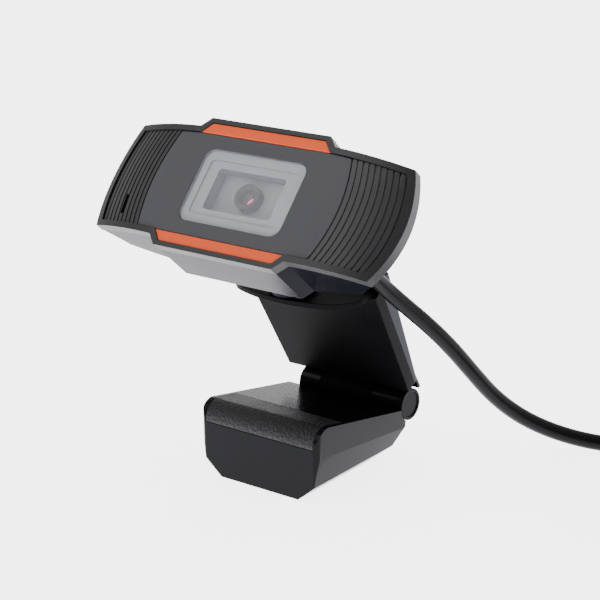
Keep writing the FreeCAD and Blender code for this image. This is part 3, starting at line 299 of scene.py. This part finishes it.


# The lens: a dark tint with a purple painted sheen at grazing angles, and the painted pink glint.
rounded_copy("front_lens", 0.05, coated_glass("magenta-coated lens glass", "0a0508", "4a2a3a", painted_glint_strength=2.5),
             segments=2)
# The filter: a cyan painted sheen at grazing angles, and no glint.
cyan_glass = coated_glass("cyan-coated filter glass", "20444c", "8cc8d0")
rounded_copy("infrared_filter", 0.05, cyan_glass, segments=2)
chip_black = moulded("epoxy chip package", "101011", "17171a", 0.45, 0.15, 0.003)
for part in ("image_sensor", "interface_chip"):
    rounded_copy(part, 0.08, chip_black, segments=2)
board_green = moulded("green solder mask on glass-fibre board", "0b4a26", "0f5a30", 0.35, 0.5, 0.004,
                      coat=0.3)
rounded_copy("circuit_board", 0.06, board_green, segments=2)


def metal(name, dark, light, roughness, lines):
    """A bare metal with fine turning or rolling marks of a given spacing in millimetres."""
    material = bpy.data.materials.new(name)
    material.use_nodes = True
    tree = material.node_tree
    tree.nodes.clear()
    place = add_node(tree, "TexCoord").outputs["Object"]
    stretch = add_node(tree, "Mapping", {"Vector": place, "Scale": (0.1, 1.0, 1.0)}).outputs["Vector"]
    marks = noise(tree, stretch, lines, 2.0)
    shade = add_node(tree, "Mix", data_type="RGBA")
    tree.links.new(marks, shade.inputs["Factor"])
    shade.inputs["A"].default_value = linear(dark)
    shade.inputs["B"].default_value = linear(light)
    bump = add_node(tree, "Bump", {"Height": marks, "Distance": 0.002 * MM, "Strength": 1.0})
    surface = add_node(tree, "BsdfPrincipled", {
        "Base Color": shade.outputs["Result"], "Roughness": roughness, "Metallic": 1.0,
        "Normal": bump.outputs["Normal"]})
    add_node(tree, "OutputMaterial", {"Surface": surface.outputs["BSDF"]})
    return material


zinc_steel = metal("zinc-plated steel", "a9acb0", "c3c6ca", 0.28, 0.2)
rounded_copy("board_screws", 0.1, zinc_steel, segments=2)
rounded_copy("microphone_capsule", 0.1, zinc_steel, segments=2)
silicone = moulded("black silicone rubber", "121213", "19191a", 0.6, 0.3, 0.006)
rounded_copy("microphone_boot", 0.15, silicone, segments=2)

# ---- Rear shell: one polished black ABS moulding, deep in the middle and thin at the wings, held
# by a screw in each wing.

gloss_black = moulded("polished black ABS", "060608", "08080b", 0.16, 4.0, 0.006, specular=0.09,
                      spread=0.05, sheen="d2d2ff")
# Black ABS with its reflection turned low and its base a little lighter and bluer than the polished black:
# a painted reflection of the pale floor in place of part of its gloss.
shell_black_painted_reflection = moulded("black ABS, bluish base as painted reflection", "0c0c10", "0f0f14", 0.2, 4.0, 0.006, specular=0.03)
rounded_copy("rear_shell", 0.7, shell_black_painted_reflection, segments=4)
rounded_copy("shell_screws", 0.15, zinc_steel, segments=2)
rounded_copy("tilt_pin", 0.15, zinc_steel, segments=2)

# ---- Neck: a polished ABS post that tilts in the shell and swivels on the platform, with a steel
# washer and screw below.

rounded_copy("swivel_neck", 0.3, gloss_black)
for part in ("swivel_washer", "swivel_screw"):
    rounded_copy(part, 0.12, zinc_steel, segments=2)

# ---- Arm: a satin front plate of glass-filled nylon with the platform in one moulding, and a
# polished rear cover that two screws hold.

arm_black = moulded("black glass-filled nylon, satin", "080809", "0d0d0e", 0.45, 0.35, 0.008, specular=0.02)
rounded_copy("arm_plate", 0.35, arm_black)
rounded_copy("arm_cover", 0.5, gloss_black, segments=4)
rounded_copy("arm_screws", 0.12, zinc_steel, segments=2)

# ---- Hinge: a steel pin through three knuckles, with a satin acetal cap on its right end, and
# two spring washers that give the drag.

rounded_copy("hinge_pin", 0.15, zinc_steel, segments=2)
knuckle_black = moulded("black acetal, satin", "08080a", "0c0c0e", 0.3, 0.4, 0.006, specular=0.03)
rounded_copy("hinge_cap", 0.3, knuckle_black)
rounded_copy("friction_washers", 0.03, zinc_steel, segments=1)

# ---- Jaw: a semi-gloss black wedge with flanks that slope in to its foot. A grained rubber pad
# wraps its nose, and a screwed cover closes it below.

jaw_black = moulded("black ABS, semi-gloss", "09090c", "0c0c10", 0.24, 0.5, 0.006, specular=0.06)
rounded_copy("jaw_shell", 0.6, jaw_black, segments=4)
grained_rubber = moulded("black rubber, moulded grain", "0b0b0c", "1c1c1e", 0.5, 0.7, 0.5, specular=0.2)
rounded_copy("jaw_pad", 0.3, grained_rubber)
rounded_copy("jaw_base", 0.2, jaw_black, segments=2)
rounded_copy("jaw_screws", 0.1, zinc_steel, segments=2)

# ---- Lead: a PVC-jacketed USB cord. It leaves the strain relief, drops to the table and is put
# away as a neat coil with the plug on top.

cord_black = moulded("black PVC jacket, satin", "080809", "0c0c0d", 0.36, 0.5, 0.008, specular=0.08)
CORD = 4.2
ROUTE = [
    (26.0, -3.752, 59.818), (26.0, 1.467, 55.152), (28.4, 8.2, 48.4), (31.7, 14.8, 41.6),
    (34.6, 21.2, 34.2), (37.1, 27.3, 26.2), (39.6, 34.0, 18.0), (43.8, 41.6, 10.7),
    (50.6, 49.4, 5.2), (60.4, 56.6, 2.1), (72.6, 63.4, 2.1), (86.4, 67.9, 2.1), (97.0, 69.2, 2.1),
]
COIL_CENTRE = Vector((105.0, 41.0, 0.0))
COIL_MEAN = 24.0
STEP = 22.5
# Degrees round the coil at which each change ends, with the ring and the layer it leads to.
CHANGES = [(0, 1, 0), (360, 0, 0), (720, -1, 0), (1035, -1, 1), (1350, 0, 1), (1710, 1, 1),
           (2025, 1, 2), (2340, 0, 2), (2700, -1, 2)]
CHANGE_SPAN = 45.0
COIL_END = 2862.0


def coil_place(angle):
    """Radius and height of the lead's middle at an angle round the coil."""
    ring, layer = CHANGES[0][1], CHANGES[0][2]
    for end, new_ring, new_layer in CHANGES[1:]:
        share = min(max((angle - end + CHANGE_SPAN) / CHANGE_SPAN, 0.0), 1.0)
        share = share * share * (3 - 2 * share)
        ring += (new_ring - ring) * share
        layer += (new_layer - layer) * share
    return COIL_MEAN + ring * CORD, CORD * (layer + 0.5)


def round_coil(angle, radius, height):
    """A place round the coil, clockwise from its far side."""
    turn = math.radians(angle)
    return COIL_CENTRE + Vector((radius * math.sin(turn), radius * math.cos(turn), height))


points = [Vector(p) for p in ROUTE]
angle = STEP / 2
while angle < COIL_END - STEP:
    radius, height = coil_place(angle)
    points.append(round_coil(angle, radius / math.cos(math.radians(STEP / 2)), height))
    angle += STEP
TAIL_STEP = 18.0
TAIL_CLIMB = (0.0, 0.1, 0.4, 0.72, 0.95, 1.0)
GRIP_HALF = 3.8
CLEAR = 0.02
PLUG_SET_BACK = 4.0
low = CORD * 2.5
high = CORD * 3 + GRIP_HALF + CLEAR
tail_radius = COIL_MEAN - CORD
corner_radius = tail_radius / math.cos(math.radians(TAIL_STEP / 2))
for number, climb in enumerate(TAIL_CLIMB):
    turn = 90 - TAIL_STEP / 2 * (2 * (len(TAIL_CLIMB) - number) - 1)
    points.append(round_coil(turn, corner_radius, low + (high - low) * climb))
points.append(round_coil(90, tail_radius, high) - Vector((0, PLUG_SET_BACK, 0)))

lead_curve = bpy.data.curves.new("usb_lead", "CURVE")
lead_curve.dimensions = "3D"
spline = lead_curve.splines.new("NURBS")
spline.points.add(len(points) - 1)
for control, point in zip(spline.points, points):
    control.co = (*(point * MM), 1.0)
spline.order_u = 3
spline.use_endpoint_u = True
spline.resolution_u = 6
lead_curve.bevel_depth = CORD / 2 * MM
lead_curve.bevel_resolution = 5
lead_curve.use_fill_caps = True
lead_curve.materials.append(cord_black)
lead = bpy.data.objects.new("usb_lead", lead_curve)
bpy.context.scene.collection.objects.link(lead)
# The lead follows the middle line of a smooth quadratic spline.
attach(lead, "head")
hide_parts("cable", "cable_coil", "cable_tail")
relief = rounded_copy("strain_relief", 0.3, cord_black)
grip = rounded_copy("plug_grip", 0.5, cord_black)
plated_steel = metal("nickel-plated steel", "b4b6b8", "cdcfd1", 0.22, 0.3)
plug_metal = rounded_copy("plug_shell", 0.1, plated_steel, segments=2)
white_pbt = moulded("white PBT", "d6d6d2", "dfdfdb", 0.4, 0.3, 0.002)
tongue = rounded_copy("plug_tongue", 0.1, white_pbt, segments=2)
gilt = metal("gilt contacts", "c99a3c", "dcae52", 0.25, 0.2)
contacts = rounded_copy("plug_contacts", 0.03, gilt, segments=1)

# ---- Studio: a white acrylic sheet lit from below, light that is strong behind the camera's
# subject and weak in front of it, and a large soft key high on the left.

floor_shape = bmesh.new()
bmesh.ops.create_grid(floor_shape, x_segments=1, y_segments=1, size=3.0)
floor_mesh = bpy.data.meshes.new("floor")
floor_shape.to_mesh(floor_mesh)
floor_shape.free()
floor = bpy.data.objects.new("floor", floor_mesh)
bpy.context.scene.collection.objects.link(floor)
paper = bpy.data.materials.new("white acrylic sheet, lit from below")
paper.use_nodes = True
tree = paper.node_tree
tree.nodes.clear()
surface = add_node(tree, "BsdfPrincipled", {
    "Base Color": linear("f4f4f6"), "Roughness": 0.8, "Emission Color": linear("fbfbff"),
    "Emission Strength": 4.0})
add_node(tree, "OutputMaterial", {"Surface": surface.outputs["BSDF"]})
floor_mesh.materials.append(paper)
world = bpy.data.worlds.new("studio")
bpy.context.scene.world = world
world.use_nodes = True
sky = world.node_tree
sky.nodes.clear()
heading = add_node(sky, "SeparateXYZ", {"Vector": add_node(sky, "TexCoord").outputs["Generated"]})
glow = add_node(sky, "MapRange", {"Value": heading.outputs["Y"], "From Min": -0.9, "From Max": 0.6,
                                  "To Min": 0.25, "To Max": 1.5}, interpolation_type="SMOOTHSTEP")
backdrop = add_node(sky, "Background", {"Color": linear("ffffff"), "Strength": glow.outputs["Result"]})
add_node(sky, "OutputWorld", {"Surface": backdrop.outputs["Background"]})


def softbox(name, place, aim, width, power):
    """A square area light at a place in metres, turned to face another."""
    light = bpy.data.lights.new(name, "AREA")
    light.size = width
    light.energy = power
    holder = bpy.data.objects.new(name, light)
    holder.location = place
    holder.rotation_euler = (Vector(place) - Vector(aim)).to_track_quat("Z", "Y").to_euler()
    bpy.context.scene.collection.objects.link(holder)
    return holder


key = softbox("key", (-0.5, -0.7, 1.0), (0, 0, 0.05), 0.8, 8.0)

CAMERA_PLACE = (0.2733, -0.351, 0.1921)
AZIMUTH, ELEVATION, ROLL = (math.radians(a) for a in (37.65, 18.14, -0.874))
reach = math.cos(ELEVATION)
back = Vector((math.sin(AZIMUTH) * reach, -math.cos(AZIMUTH) * reach, math.sin(ELEVATION)))
level = Vector((math.cos(AZIMUTH), math.sin(AZIMUTH), 0))
right = level * math.cos(ROLL) + back.cross(level) * math.sin(ROLL)
turn = Matrix((right, back.cross(right), back)).transposed()
lens = bpy.data.cameras.new("camera")
lens.sensor_width = 36.0
lens.lens = 111.0
lens.clip_start = 0.01
camera = bpy.data.objects.new("camera", lens)
camera.matrix_world = Matrix.Translation(CAMERA_PLACE) @ turn.to_4x4()
bpy.context.scene.collection.objects.link(camera)
bpy.context.scene.camera = camera
